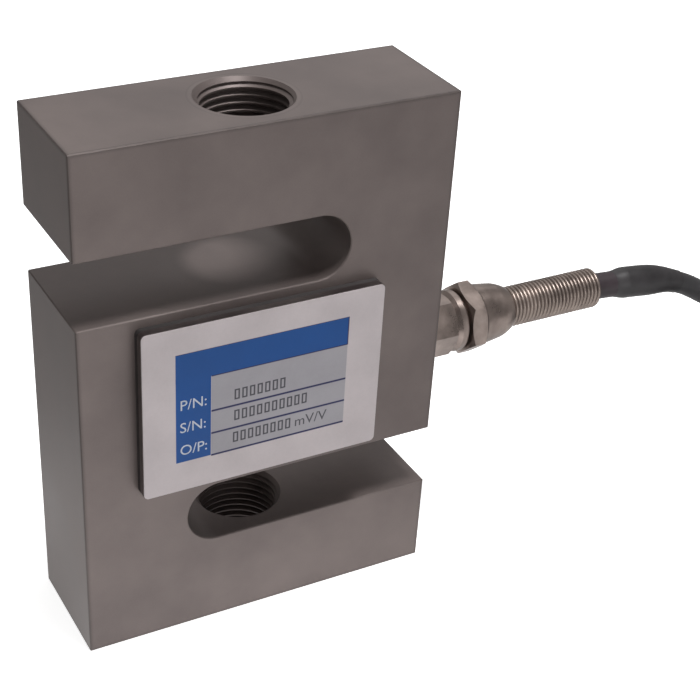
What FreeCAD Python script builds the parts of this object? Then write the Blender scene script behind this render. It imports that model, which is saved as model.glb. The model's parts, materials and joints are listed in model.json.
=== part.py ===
import FreeCAD, Part

import math
import os

from FreeCAD import Placement, Rotation, Vector

# S type load cell, millimetres. +Z is the load axis, +X points out of the cable gland, and the
# front cover faces -Y. The origin is the centre of the bottom face, on the load axis.

# ---- driving dimensions: the elastic body -----------------------------------------------------
BLOCK_W = 76.2             # across, along X
BLOCK_T = 25.4             # front to back, along Y
BLOCK_H = 108.0            # between the two loading faces
ARM_H = 20.2               # thickness of the top and bottom arms
SLOT_H = 13.3              # height of each flex slot; its blind end is a full round
SLOT_WALL = 21.45          # metal left beyond a slot's blind end
EDGE_BREAK = 0.2           # chamfer on the block's outside edges

LOAD_THREAD_D = 18.0       # M18 x 1.5 in both arms
LOAD_THREAD_PITCH = 1.5
TAP_D = LOAD_THREAD_D - 1.0825 * LOAD_THREAD_PITCH
MOUTH_D = 18.9             # countersink at the loading face
INNER_MOUTH_D = 18.4       # countersink where the thread runs out into the slot

POCKET_R = 14.0            # gauge pockets, one from each side
WEB_T = 6.0                # shear web left between them
REAR_DISC_R = 17.0         # sealing disc let into the back face
REAR_DISC_T = 1.5
FIT = 0.05                 # radial clearance of parts that drop into a bore

# ---- driving dimensions: front cover ----------------------------------------------------------
COVER_W = 50.2
COVER_H = 36.2
COVER_R = 1.1              # corner radius
COVER_T = 1.5
GASKET_T = 1.2
GASKET_HOLE_R = 16.5
LABEL_MARGIN = 0.1         # bare metal round the label
LABEL_T = 0.15
COVER_OFFSET_X = -1.95     # the cover sits a little left of the load axis
COVER_OFFSET_Z = 0.5       # and a little above the block's middle

# ---- driving dimensions: gauges and wiring ----------------------------------------------------
GAUGE_L = 8.0
GAUGE_W = 5.0
GAUGE_T = 0.15
GAUGE_SPREAD = 4.6         # each gauge's distance from the load axis
SEALANT_RIM = 1.2          # sealant beyond the gauges
SEALANT_T = 1.2
BOARD_L = 15.0
BOARD_T = 0.8
BOARD_GAP = 0.4            # round the board, to the pocket's wall and to the sealant
TERMINAL_R = 0.6
TERMINAL_T = 0.5
TERMINAL_STEP = 3.4
RESISTOR_L = 2.4
RESISTOR_H = 1.2
RESISTOR_T = 0.6
WIRE_D = 0.7
WIRE_LANE = 0.55           # each core's distance from the middle of the duct, in both directions
WIRE_BEND = 0.5            # each bend's two mitres are this far from its corner
WIRE_RISE = 1.2            # the lowest core's height over the terminals
WIRE_STEP = 0.95           # height between the cores where they cross the pocket
GAUGE_LEAD_D = 0.4
DUCT_R = 2.5               # drilling from the gland to the wiring well
WELL_X = 13.0              # wiring well, drilled front to back beside the web
WELL_R = 2.8

# ---- driving dimensions: gland, along +X -------------------------------------------------------
GLAND_DROP = 3.9           # cable outlet below the block's middle
STUB_R = 4.0               # threaded stub in the block
STUB_L = 9.0
WASHER_T = 1.0
WASHER_R = 6.7
BODY_AF = 12.0             # hexagon of the gland body
BODY_HEX_L = 8.8
BODY_TURN = 116.0          # angle of one corner after tightening, degrees
COLLAR_R = 6.6
COLLAR_L = 2.6
COLLAR_BEVEL = 0.9         # slope that leads from the hexagon up to the collar
NECK_R = 5.0               # external thread that takes the nut
NUT_GAP = 0.4              # thread left showing between collar and nut
NUT_AF = 14.0
NUT_HEX_L = 3.7
NUT_TURN = 139.0
NUT_L = 12.2
DOME_SHOULDER_R = 6.65
DOME_SHOULDER_X = 4.2      # from the nut's inner face
DOME_WAIST_R = 5.95
DOME_WAIST_X = 9.4
DOME_LIP_R = 4.75
THREAD_L = 6.1             # length of the nut's internal thread
BUSH_R = 3.9
BUSH_L = 6.0
BUSH_NOSE_L = 2.0
BUSH_NOSE_R = 3.3
SLIP_WASHER_T = 1.0
SPRING_D = 8.8             # anti-kink spring, close wound
SPRING_WIRE = 0.93
SPRING_L = 27.2
SPRING_TURNS = 29

# ---- driving dimensions: cable -----------------------------------------------------------------
CABLE_D = 5.0
JACKET_IN = 1.9            # jacket starts this far inside the gland's stub
SLEEVE_WALL = 0.4          # inner heat-shrink sleeve
SLEEVE_LEAD = 8.0          # length of it inside the spring
COVER_SLEEVE_WALL = 0.6    # outer heat-shrink sleeve
COVER_SLEEVE_START = 5.5   # past the spring
COVER_SLEEVE_L = 19.1      # both sleeves end together

# The cable's way from the spring's end to the hank: points chosen by hand.
ROUTE = [
    (98.0, 0.0, 49.3),
    (111.0, 0.0, 47.0),
    (126.0, 1.5, 37.4),
    (137.0, 4.5, 32.0),
    (148.0, 7.2, 29.0),
    (159.0, 8.0, 28.3),
]
# The rest of the 3 m is a hank: an oval winding that lies along the object.
HANK_X = 154.0             # centre of its near fold
HANK_Y = -12.0
HANK_RUN = 95.0            # between the centres of the two folds
HANK_COLUMN_R = 15.0       # radius of the inner turns' folds
HANK_COLUMNS = 2           # turns side by side
HANK_LAYERS = 6            # turns on each other
HANK_EDGE = 1.2            # break of its edges
TIE_T = 0.8
TIE_W = 4.0
# The tail, from the hank's innermost turn to the end of the jacket.
TAIL = [
    (249.0, -27.0, 25.8),
    (239.5, -26.7, 26.1),
    (229.8, -24.6, 25.9),
    (220.8, -21.6, 22.6),
    (213.2, -18.7, 17.6),
    (206.6, -16.2, 11.6),
    (199.2, -14.0, 6.6),
    (190.3, -12.5, 3.9),
    (181.0, -12.0, 3.9),
]
BOOT_BACK = 6.0            # boot over the jacket
BOOT_FRONT = 4.0           # boot over the cores
BOOT_WALL = 0.6
LEAD_D = 1.2
LEAD_RING = 1.5            # centre distance of the outer cores in the boot
LEAD_BEND = 1.2            # as WIRE_BEND
LEAD_STRAIGHT = 3.5        # out of the boot before the cores fan out
LEAD_LANDING = 10.0        # where they reach the surface
LEAD_LIFT = 0.05           # between the cores and the surface they lie on
TIP_L = 5.0
TIP_D = 0.75

# ---- sizes that follow -------------------------------------------------------------------------
HALF_W = BLOCK_W / 2
HALF_T = BLOCK_T / 2
MID_Z = BLOCK_H / 2
SLOT_R = SLOT_H / 2
LOWER_SLOT_Z = ARM_H + SLOT_R
UPPER_SLOT_Z = BLOCK_H - ARM_H - SLOT_R
SLOT_ROUND_X = HALF_W - SLOT_WALL - SLOT_R      # centre of the round blind end
POCKET_DEPTH = HALF_T - WEB_T / 2
GLAND_Z = MID_Z - GLAND_DROP
COVER_X = COVER_OFFSET_X
COVER_Z = MID_Z + COVER_OFFSET_Z
GAUGE_UP = (GAUGE_L + GAUGE_W) / 2 * math.sqrt(0.5)      # half the height of a gauge at 45 degrees
GAUGE_ACROSS = GAUGE_SPREAD + GAUGE_UP
BOARD_TOP = MID_Z - GAUGE_UP - SEALANT_RIM - BOARD_GAP
BOARD_LOW = MID_Z - math.sqrt((POCKET_R - BOARD_GAP) ** 2 - (BOARD_L / 2) ** 2)
BOARD_FACE_Y = -WEB_T / 2 - BOARD_T
STUB_END_X = HALF_W - STUB_L
BODY_X = HALF_W + WASHER_T
COLLAR_X = BODY_X + BODY_HEX_L
NECK_X = COLLAR_X + COLLAR_L
NUT_X = NECK_X + NUT_GAP
BUSH_END_X = NUT_X + THREAD_L + 1.5
BUSH_X = BUSH_END_X - BUSH_L
NECK_END_X = BUSH_END_X - BUSH_NOSE_L
SPRING_X = BUSH_END_X + SLIP_WASHER_T
SPRING_R = SPRING_D / 2
SPRING_BORE_R = SPRING_R - SPRING_WIRE
CABLE_R = CABLE_D / 2
JACKET_X = STUB_END_X + JACKET_IN
SLEEVE_R = CABLE_R + SLEEVE_WALL
COVER_SLEEVE_R = SLEEVE_R + COVER_SLEEVE_WALL
SLEEVE_END = COVER_SLEEVE_START + COVER_SLEEVE_L
HANK_IN_R = HANK_COLUMN_R - CABLE_R
HANK_OUT_R = HANK_IN_R + HANK_COLUMNS * CABLE_D


# ---- helpers ------------------------------------------------------------------------------------
def rod(radius, length, start, along):
    """A cylinder from start, in the direction along."""
    return Part.makeCylinder(radius, length, Vector(*start), Vector(*along))


def cone(r_start, r_end, length, start, along):
    return Part.makeCone(r_start, r_end, length, Vector(*start), Vector(*along))


def outline(points):
    """Edges of a closed outline in the XZ plane. A point is (x, z); an arc is (middle, end)."""
    edges = []
    here = points[0]
    for item in points[1:] + [points[0]]:
        is_arc = isinstance(item[0], tuple)
        end = item[1] if is_arc else item
        a = Vector(here[0], 0, here[1])
        b = Vector(end[0], 0, end[1])
        if is_arc:
            middle = Vector(item[0][0], 0, item[0][1])
            edges.append(Part.Arc(a, middle, b).toShape())
        elif (b - a).Length > 1e-7:
            edges.append(Part.LineSegment(a, b).toShape())
        here = end
    return Part.Wire(edges)


def turned(points):
    """A piece turned about the gland's axis, from its half section as (x, radius)."""
    face = Part.Face(outline(points))
    solid = face.revolve(Vector(0, 0, 0), Vector(1, 0, 0), 360)
    solid.translate(Vector(0, 0, GLAND_Z))
    return solid


def hexagon(across_flats, x, length, turn):
    """A hexagon bar on the gland's axis, its corners chamfered at 30 degrees on both ends."""
    corner = across_flats / 2 / math.cos(math.radians(30))
    points = []
    for k in range(7):
        a = math.radians(turn + 60 * k)
        points.append(Vector(x, corner * math.cos(a), GLAND_Z + corner * math.sin(a)))
    bar = Part.Face(Part.makePolygon(points)).extrude(Vector(length, 0, 0))
    flat = across_flats / 2
    slope = (corner - flat) * math.tan(math.radians(30))
    reach = corner + 0.1
    extra = (reach - flat) * math.tan(math.radians(30))
    envelope = turned([
        (x, 0), (x, flat), (x + extra, reach), (x + length - extra, reach),
        (x + length, flat), (x + length, 0),
    ])
    return bar.common(envelope) if slope > 0 else bar


def plate(width, height, corner, y_back, thickness):
    """A plate with round corners, standing on the plane y_back and reaching towards -Y."""
    w, h, r = width / 2, height / 2, corner
    d = r * (1 - math.sqrt(0.5))
    wire = outline([
        (-w + r, -h), (w - r, -h), ((w - d, -h + d), (w, -h + r)), (w, h - r),
        ((w - d, h - d), (w - r, h)), (-w + r, h), ((-w + d, h - d), (-w, h - r)),
        (-w, -h + r), ((-w + d, -h + d), (-w + r, -h)),
    ])
    solid = Part.Face(wire).extrude(Vector(0, -thickness, 0))
    solid.translate(Vector(COVER_X, y_back, COVER_Z))
    return solid


def rounded_route(points):
    """Straight runs joined by tangent arcs, each as large as its two runs allow."""
    pts = [Vector(*p) for p in points]
    edges = []
    radii = []
    here = pts[0]
    for a, p, b in zip(pts, pts[1:], pts[2:]):
        u = (p - a).normalize()
        v = (b - p).normalize()
        half = u.getAngle(v) / 2
        back = 0.45 * min(a.distanceToPoint(p), p.distanceToPoint(b))
        radius = back / math.tan(half)
        start = p - u * back
        end = p + v * back
        middle = p + (v - u).normalize() * (radius / math.cos(half) - radius)
        edges.append(Part.LineSegment(here, start).toShape())
        edges.append(Part.Arc(start, middle, end).toShape())
        radii.append(radius)
        here = end
    edges.append(Part.LineSegment(here, pts[-1]).toShape())
    return edges, radii


def stretch(edges, start, end):
    """The part of a route between two distances along it."""
    kept = []
    done = 0.0
    for edge in edges:
        low = max(start - done, 0.0)
        high = min(end - done, edge.Length)
        if high - low > 1e-6:
            first = edge.getParameterByLength(low)
            last = edge.getParameterByLength(high)
            kept.append(edge.Curve.toShape(first, last))
        done += edge.Length
    return kept


def tube(edges, radius):
    """A round solid along a route."""
    first = edges[0]
    way = first.tangentAt(first.FirstParameter)
    ring = Part.makeCircle(radius, first.valueAt(first.FirstParameter), way)
    return Part.Wire(edges).makePipeShell([Part.Wire(ring)], True, False)


def bent_wire(points, radius, cut):
    """A thin wire through the points, with each bend made of two mitres a cut away from its point."""
    pts = [Vector(*p) for p in points]
    path = [pts[0]]
    for a, p, b in zip(pts, pts[1:], pts[2:]):
        path.append(p + (a - p).normalize() * cut)
        path.append(p + (b - p).normalize() * cut)
    path.append(pts[-1])
    ring = Part.makeCircle(radius, path[0], path[1] - path[0])
    return Part.makePolygon(path).makePipeShell([Part.Wire(ring)], True, False, 1)


def group(shapes):
    return Part.makeCompound(shapes)


# ---- elastic body -------------------------------------------------------------------------------
def s_prism():
    """The S outline: two slots from opposite sides, extruded front to back."""
    x, r = SLOT_ROUND_X, SLOT_R
    low, high = LOWER_SLOT_Z, UPPER_SLOT_Z
    wire = outline([
        (-HALF_W, 0), (HALF_W, 0), (HALF_W, low - r), (-x, low - r),
        ((-x - r, low), (-x, low + r)), (HALF_W, low + r), (HALF_W, BLOCK_H),
        (-HALF_W, BLOCK_H), (-HALF_W, high + r), (x, high + r),
        ((x + r, high), (x, high - r)), (-HALF_W, high - r),
    ])
    wire.translate(Vector(0, HALF_T, 0))
    return Part.Face(wire).extrude(Vector(0, -BLOCK_T, 0))


def outside_edges(prism):
    """Edges of both S outlines and of the block's eight corners parallel to Y."""
    chosen = []
    for edge in prism.Edges:
        box = edge.BoundBox
        flat = box.YLength < 1e-6
        corner = box.YLength > BLOCK_T - 1e-6 and abs(abs(box.Center.x) - HALF_W) < 1e-6
        if flat or corner:
            chosen.append(edge)
    return chosen


def thread_bore(face_z, way):
    """Tap drilling through one arm, countersunk at both ends."""
    start = (0, 0, face_z)
    along = (0, 0, way)
    mouth = (MOUTH_D - TAP_D) / 2
    inner = (INNER_MOUTH_D - TAP_D) / 2
    cut = rod(TAP_D / 2, ARM_H + 1, start, along)
    cut = cut.fuse(cone(MOUTH_D / 2, TAP_D / 2, mouth, start, along))
    inner_start = (0, 0, face_z + way * (ARM_H - inner))
    return cut.fuse(cone(TAP_D / 2, INNER_MOUTH_D / 2, inner, inner_start, along))


def s_block():
    prism = s_prism()
    block = prism.makeChamfer(EDGE_BREAK, outside_edges(prism))
    block = block.cut(thread_bore(0, 1)).cut(thread_bore(BLOCK_H, -1))
    for way in (-1, 1):
        block = block.cut(rod(POCKET_R, POCKET_DEPTH, (0, way * HALF_T, MID_Z), (0, -way, 0)))
    recess = rod(REAR_DISC_R + FIT, REAR_DISC_T, (0, HALF_T, MID_Z), (0, -1, 0))
    well = rod(WELL_R, BLOCK_T - REAR_DISC_T, (WELL_X, -HALF_T, GLAND_Z), (0, 1, 0))
    duct = rod(DUCT_R, HALF_W - WELL_X, (WELL_X, 0, GLAND_Z), (1, 0, 0))
    port = rod(STUB_R + FIT, STUB_L, (HALF_W, 0, GLAND_Z), (-1, 0, 0))
    return block.cut(recess).cut(well).cut(duct).cut(port)


# ---- covers -------------------------------------------------------------------------------------
def front_gasket():
    hole = rod(GASKET_HOLE_R, GASKET_T, (0, -HALF_T, MID_Z), (0, -1, 0))
    return plate(COVER_W, COVER_H, COVER_R, -HALF_T, GASKET_T).cut(hole)


def front_cover():
    return plate(COVER_W, COVER_H, COVER_R, -HALF_T - GASKET_T, COVER_T)


def front_label():
    width = COVER_W - 2 * LABEL_MARGIN
    height = COVER_H - 2 * LABEL_MARGIN
    corner = COVER_R - LABEL_MARGIN
    return plate(width, height, corner, -HALF_T - GASKET_T - COVER_T, LABEL_T)


def rear_seal_disc():
    return rod(REAR_DISC_R, REAR_DISC_T, (0, HALF_T, MID_Z), (0, -1, 0))


# ---- gauges and wiring --------------------------------------------------------------------------
def gauge(side, place):
    """A foil gauge on the web, at 45 degrees. side -1 is the front; place -1 is the left."""
    foil = Part.makeBox(GAUGE_L, GAUGE_T, GAUGE_W, Vector(-GAUGE_L / 2, 0, -GAUGE_W / 2))
    foil.Placement = Placement(Vector(0, 0, 0), Rotation(Vector(0, 1, 0), 45 * place))
    y = side * WEB_T / 2 - (GAUGE_T if side < 0 else 0)
    foil.translate(Vector(place * GAUGE_SPREAD, y, MID_Z))
    return foil


def gauge_sealant(side):
    """Silicone over both gauges of one side."""
    w, h = GAUGE_ACROSS + SEALANT_RIM, GAUGE_UP + SEALANT_RIM
    y = side * WEB_T / 2 - (SEALANT_T if side < 0 else 0)
    pad = Part.makeBox(2 * w, SEALANT_T, 2 * h, Vector(-w, y, MID_Z - h))
    bar = rod(POCKET_R - 0.3, SEALANT_T, (0, y, MID_Z), (0, 1, 0))
    pad = pad.common(bar)
    for place in (-1, 1):
        pad = pad.cut(gauge(side, place))
    return pad.cut(well_clearance())


def well_clearance():
    return rod(WELL_R + 0.3, BLOCK_T, (WELL_X, -HALF_T, GLAND_Z), (0, 1, 0))


def bridge_board():
    corner = Vector(-BOARD_L / 2, BOARD_FACE_Y, BOARD_LOW)
    return Part.makeBox(BOARD_L, BOARD_T, BOARD_TOP - BOARD_LOW, corner)


def terminal_x(k):
    """The four cable terminals stand in a row, centred on the board."""
    return (k - 1.5) * TERMINAL_STEP


def terminal_z():
    return BOARD_TOP - 1.5 * TERMINAL_R


def solder_terminals():
    y = BOARD_FACE_Y
    return group([
        rod(TERMINAL_R, TERMINAL_T, (terminal_x(k), y, terminal_z()), (0, -1, 0)) for k in range(4)
    ])


def trim_resistors():
    z = BOARD_LOW + 0.4
    y = BOARD_FACE_Y - RESISTOR_T
    return group([
        Part.makeBox(RESISTOR_L, RESISTOR_T, RESISTOR_H, Vector(x - RESISTOR_L / 2, y, z))
        for x in (-3.2, 3.2)
    ])


def core_wire(k, layer, lane_y, lane_z):
    """One core from terminal k, over the pocket in its layer, down the well, along the duct."""
    start_y = BOARD_FACE_Y - TERMINAL_T
    level = start_y - WIRE_RISE - layer * WIRE_STEP
    x = WELL_X - lane_y * WIRE_LANE
    y = lane_y * WIRE_LANE
    z = GLAND_Z + lane_z * WIRE_LANE
    return bent_wire([
        (terminal_x(k), start_y, terminal_z()),
        (terminal_x(k), level, terminal_z()),
        (x, level, z),
        (x, y, z),
        (JACKET_X, y, z),
    ], WIRE_D / 2, WIRE_BEND)


def front_gauge_leads():
    """Fine leads from the front gauges' lower corners, between the terminals, to the board."""
    over = -WEB_T / 2 - SEALANT_T - GAUGE_LEAD_D
    deep = BOARD_FACE_Y - GAUGE_LEAD_D / 2
    leads = []
    for way in (-1, 1):
        x = way * TERMINAL_STEP
        leads.append(bent_wire([
            (way * GAUGE_SPREAD, over, MID_Z - GAUGE_UP + 1.0),
            (x, over, BOARD_TOP),
            (x, deep, BOARD_TOP - 1.0),
        ], GAUGE_LEAD_D / 2, WIRE_BEND))
    return group(leads)


def rear_gauge_leads():
    """Fine leads from the rear gauges, through the well, to the board's end."""
    over = WEB_T / 2 + SEALANT_T + GAUGE_LEAD_D
    deep = BOARD_FACE_Y - GAUGE_LEAD_D / 2
    x = WELL_X - WELL_R + GAUGE_LEAD_D + 0.3
    end_x = BOARD_L / 2
    leads = []
    for way in (-1, 1):
        z = GLAND_Z + way * 0.5
        low = BOARD_TOP - 1.3 + way * 0.5
        leads.append(bent_wire([
            (GAUGE_ACROSS - 3.0, over, z),
            (x, over, z),
            (x, -over, z),
            (end_x + 1.0, -over, low + 1.0),
            (end_x - 0.6, deep, low),
        ], GAUGE_LEAD_D / 2, WIRE_BEND))
    return group(leads)


# ---- gland ---------------------------------------------------------------------------------------
def gland_washer():
    return turned([
        (HALF_W, STUB_R + FIT), (HALF_W, WASHER_R), (BODY_X, WASHER_R), (BODY_X, STUB_R + FIT),
    ])


def gland_body():
    bore = CABLE_R + FIT
    hexagon_bar = hexagon(BODY_AF, BODY_X, BODY_HEX_L, BODY_TURN)
    round_r = COLLAR_L * 0.2
    shaft = turned([
        (STUB_END_X, 0), (STUB_END_X, STUB_R - 0.5), (STUB_END_X + 0.5, STUB_R), (BODY_X, STUB_R),
        (COLLAR_X, STUB_R), (COLLAR_X, BODY_AF / 2), (COLLAR_X + COLLAR_BEVEL, COLLAR_R),
        (NECK_X - round_r, COLLAR_R),
        ((NECK_X - round_r * (1 - math.sqrt(0.5)), COLLAR_R - round_r * (1 - math.sqrt(0.5))),
         (NECK_X, COLLAR_R - round_r)),
        (NECK_X, NECK_R), (NECK_END_X - 0.5, NECK_R), (NECK_END_X, NECK_R - 0.5), (NECK_END_X, 0),
    ])
    body = hexagon_bar.fuse(shaft)
    body = body.cut(rod(bore, NECK_END_X - STUB_END_X, (STUB_END_X, 0, GLAND_Z), (1, 0, 0)))
    return body.cut(rod(BUSH_R, NECK_END_X - BUSH_X, (BUSH_X, 0, GLAND_Z), (1, 0, 0)))


def gland_bush():
    return turned([
        (BUSH_X, CABLE_R), (BUSH_X, BUSH_R), (NECK_END_X, BUSH_R), (BUSH_END_X, BUSH_NOSE_R),
        (BUSH_END_X, CABLE_R),
    ])


def gland_slip_washer():
    return turned([
        (BUSH_END_X, CABLE_R + FIT), (BUSH_END_X, SPRING_R), (SPRING_X, SPRING_R),
        (SPRING_X, CABLE_R + FIT),
    ])


def gland_nut():
    end = NUT_X + NUT_L
    hex_end = NUT_X + NUT_HEX_L
    shoulder = NUT_X + DOME_SHOULDER_X
    waist = NUT_X + DOME_WAIST_X
    flat = NUT_AF / 2
    dome = turned([
        (hex_end - 0.5, 0), (hex_end - 0.5, flat), (hex_end, flat), (shoulder, DOME_SHOULDER_R),
        ((NUT_X + (DOME_SHOULDER_X + DOME_WAIST_X) / 2, DOME_SHOULDER_R - 0.32),
         (waist, DOME_WAIST_R)),
        ((NUT_X + (DOME_WAIST_X + NUT_L) / 2, (DOME_WAIST_R + DOME_LIP_R) / 2 + 0.12),
         (end, DOME_LIP_R)),
        (end, 0),
    ])
    nut = hexagon(NUT_AF, NUT_X, NUT_HEX_L, NUT_TURN).fuse(dome)
    thread_r = NECK_R + FIT
    throat_r = SPRING_R + FIT
    thread_end = NUT_X + THREAD_L
    cavity = turned([
        (NUT_X, 0), (NUT_X, thread_r + 0.4), (NUT_X + 0.4, thread_r), (thread_end, thread_r),
        (BUSH_END_X, throat_r), (end, throat_r), (end, 0),
    ])
    return nut.cut(cavity)


def guard_spring():
    """Close-wound wire: the turns touch, so the solid is a sleeve with one rib for each turn."""
    pitch = SPRING_L / SPRING_TURNS
    valley = SPRING_R - SPRING_WIRE / 2
    section = [(SPRING_X, SPRING_BORE_R), (SPRING_X, valley)]
    for k in range(SPRING_TURNS):
        x = SPRING_X + k * pitch
        section.append((x + pitch / 2, SPRING_R))
        section.append((x + pitch, valley))
    section.append((SPRING_X + SPRING_L, SPRING_BORE_R))
    return turned(section)


# ---- cable ---------------------------------------------------------------------------------------
def cable_root():
    """The cable inside the gland and the spring."""
    length = SPRING_X + SPRING_L - JACKET_X
    return rod(CABLE_R, length, (JACKET_X, 0, GLAND_Z), (1, 0, 0))


def free_route():
    return rounded_route([(SPRING_X + SPRING_L, 0.0, GLAND_Z)] + ROUTE)


def sleeve_route():
    """The route with a straight lead-in, for the sleeves that start inside the spring."""
    edges, radii = free_route()
    start = Vector(SPRING_X + SPRING_L - SLEEVE_LEAD, 0, GLAND_Z)
    return [Part.LineSegment(start, edges[0].valueAt(edges[0].FirstParameter)).toShape()] + edges


def sleeve(start, end, bore, radius):
    """A shrunk sleeve between two distances past the spring's end."""
    edges = stretch(sleeve_route(), SLEEVE_LEAD + start, SLEEVE_LEAD + end)
    return tube(edges, radius).cut(tube(edges, bore))


def sleeve_inner():
    return sleeve(-SLEEVE_LEAD, SLEEVE_END, CABLE_R, SLEEVE_R)


def sleeve_outer():
    return sleeve(COVER_SLEEVE_START, SLEEVE_END, SLEEVE_R, COVER_SLEEVE_R)


def checked_tube(name, edges, radii):
    """A cord's tube; prints its bend radii and its volume against section times length."""
    solid = tube(edges, CABLE_R)
    length = sum(e.Length for e in edges)
    ratio = solid.Volume / (math.pi * CABLE_R ** 2 * length)
    print(name, "radii", [round(r, 1) for r in radii], "length", round(length, 1), "volume", round(ratio, 4))
    return solid


def cable():
    edges, radii = free_route()
    return checked_tube("cable", edges, radii)


def oval(radius, z, height):
    """A racetrack prism round the hank's two folds."""
    x0, x1, y = HANK_X, HANK_X + HANK_RUN, HANK_Y
    a, b = Vector(x0, y + radius, z), Vector(x1, y + radius, z)
    c, d = Vector(x1, y - radius, z), Vector(x0, y - radius, z)
    edges = [
        Part.LineSegment(a, b).toShape(),
        Part.Arc(b, Vector(x1 + radius, y, z), c).toShape(),
        Part.LineSegment(c, d).toShape(),
        Part.Arc(d, Vector(x0 - radius, y, z), a).toShape(),
    ]
    return Part.Face(Part.Wire(edges)).extrude(Vector(0, 0, height))


def cable_hank():
    """The outer shape of the wound hank, its edges broken as the round turns leave them."""
    height = HANK_LAYERS * CABLE_D
    ring = oval(HANK_OUT_R, TIE_T, height).cut(oval(HANK_IN_R, TIE_T, height))
    edges = [e for e in ring.Edges if e.BoundBox.ZLength < 1e-6]
    return ring.makeChamfer(HANK_EDGE, edges)


def bundle_section(x, y, z, width, height, corner, length):
    """A bar along X with the section of a bundle; y and z are its low corner."""
    bar = Part.makeBox(length, width, height, Vector(x, y, z))
    edges = [e for e in bar.Edges if e.BoundBox.XLength > length - 1e-6]
    return bar.makeChamfer(corner, edges)


def hank_tie(side):
    """A band round one of the hank's two bundles. side 1 is the bundle towards +Y."""
    x = HANK_X + HANK_RUN / 2 - TIE_W / 2
    low = HANK_Y + (HANK_IN_R if side > 0 else -HANK_OUT_R)
    width = HANK_OUT_R - HANK_IN_R
    height = HANK_LAYERS * CABLE_D
    corner = HANK_EDGE + TIE_T * (2 - math.sqrt(2))
    outer = bundle_section(x, low - TIE_T, 0, width + 2 * TIE_T, height + 2 * TIE_T, corner, TIE_W)
    return outer.cut(bundle_section(x, low, TIE_T, width, height, HANK_EDGE, TIE_W))


def cable_tail():
    edges, radii = rounded_route(TAIL)
    return checked_tube("cable_tail", edges, radii)


def on_tail_end(shape):
    """Moves a piece built along +X, from the jacket's end at the origin, to the tail's level end."""
    a, b = Vector(*TAIL[-2]), Vector(*TAIL[-1])
    heading = math.degrees(math.atan2(b.y - a.y, b.x - a.x))
    shape = shape.copy()
    shape.Placement = Placement(b, Rotation(Vector(0, 0, 1), heading)).multiply(shape.Placement)
    return shape


def end_boot():
    """A shrunk boot over the end of the jacket."""
    outer = CABLE_R + BOOT_WALL
    shell = rod(outer, BOOT_BACK + BOOT_FRONT - 1.0, (-BOOT_BACK, 0, 0), (1, 0, 0))
    shell = shell.fuse(cone(outer, outer - 0.5, 1.0, (BOOT_FRONT - 1.0, 0, 0), (1, 0, 0)))
    return on_tail_end(shell.cut(rod(CABLE_R, BOOT_BACK, (-BOOT_BACK, 0, 0), (1, 0, 0))))


# Where each core lies in the boot (as shares of LEAD_RING) and how far it fans out sideways.
LEADS = {
    "lead_red": (-0.7, 0.7, -7.0, 19.0),
    "lead_green": (-0.7, -0.7, -3.6, 21.5),
    "lead_shield": (0.0, 0.0, 0.2, 20.0),
    "lead_black": (0.7, -0.7, 3.9, 21.0),
    "lead_white": (0.7, 0.7, 7.2, 18.5),
}


def lead_points(name):
    """From the boot's end down to the surface that the cable lies on, fanning out."""
    side, up, fan, length = LEADS[name]
    y, z = side * LEAD_RING, up * LEAD_RING
    floor = LEAD_D / 2 - TAIL[-1][2] + LEAD_LIFT
    x = BOOT_FRONT
    return [
        (x, y, z),
        (x + LEAD_STRAIGHT, y, z),
        (x + LEAD_LANDING, y + 0.45 * fan, floor),
        (x + length, y + fan, floor),
    ]


def lead(name):
    return on_tail_end(bent_wire(lead_points(name), LEAD_D / 2, LEAD_BEND))


def lead_tips():
    """The bared and tinned end of each core."""
    tips = []
    for name in LEADS:
        a, b = [Vector(*p) for p in lead_points(name)[-2:]]
        way = (b - a).normalize()
        tips.append(on_tail_end(Part.makeCylinder(TIP_D / 2, TIP_L, b, way)))
    return group(tips)


# ---- all pieces -----------------------------------------------------------------------------------
def all_parts():
    parts = {
        "s_block": s_block(),
        "front_gasket": front_gasket(),
        "front_cover": front_cover(),
        "front_label": front_label(),
        "rear_seal_disc": rear_seal_disc(),
        "gauge_front_left": gauge(-1, -1),
        "gauge_front_right": gauge(-1, 1),
        "gauge_rear_left": gauge(1, -1),
        "gauge_rear_right": gauge(1, 1),
        "front_gauge_sealant": gauge_sealant(-1),
        "rear_gauge_sealant": gauge_sealant(1),
        "bridge_board": bridge_board(),
        "solder_terminals": solder_terminals(),
        "trim_resistors": trim_resistors(),
        "front_gauge_leads": front_gauge_leads(),
        "rear_gauge_leads": rear_gauge_leads(),
        "wire_red": core_wire(0, 1, 1, 1),
        "wire_green": core_wire(1, 0, 1, -1),
        "wire_black": core_wire(2, 2, -1, -1),
        "wire_white": core_wire(3, 3, -1, 1),
        "gland_washer": gland_washer(),
        "gland_body": gland_body(),
        "gland_bush": gland_bush(),
        "gland_slip_washer": gland_slip_washer(),
        "gland_nut": gland_nut(),
        "guard_spring": guard_spring(),
        "cable_root": cable_root(),
        "sleeve_inner": sleeve_inner(),
        "sleeve_outer": sleeve_outer(),
        "cable": cable(),
        "cable_hank": cable_hank(),
        "hank_tie_front": hank_tie(-1),
        "hank_tie_rear": hank_tie(1),
        "cable_tail": cable_tail(),
        "end_boot": end_boot(),
        "lead_tips": lead_tips(),
    }
    for name in LEADS:
        parts[name] = lead(name)
    return parts


os.makedirs("parts", exist_ok=True)
for node, shape in all_parts().items():
    shape.exportStep(f"parts/{node}.step")
    print(f"{node:22s} solids {len(shape.Solids)} valid {shape.isValid()} volume {shape.Volume:.1f}")
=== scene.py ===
import json
import math

import bpy
import bmesh
from mathutils import Matrix, Quaternion, Vector

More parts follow.
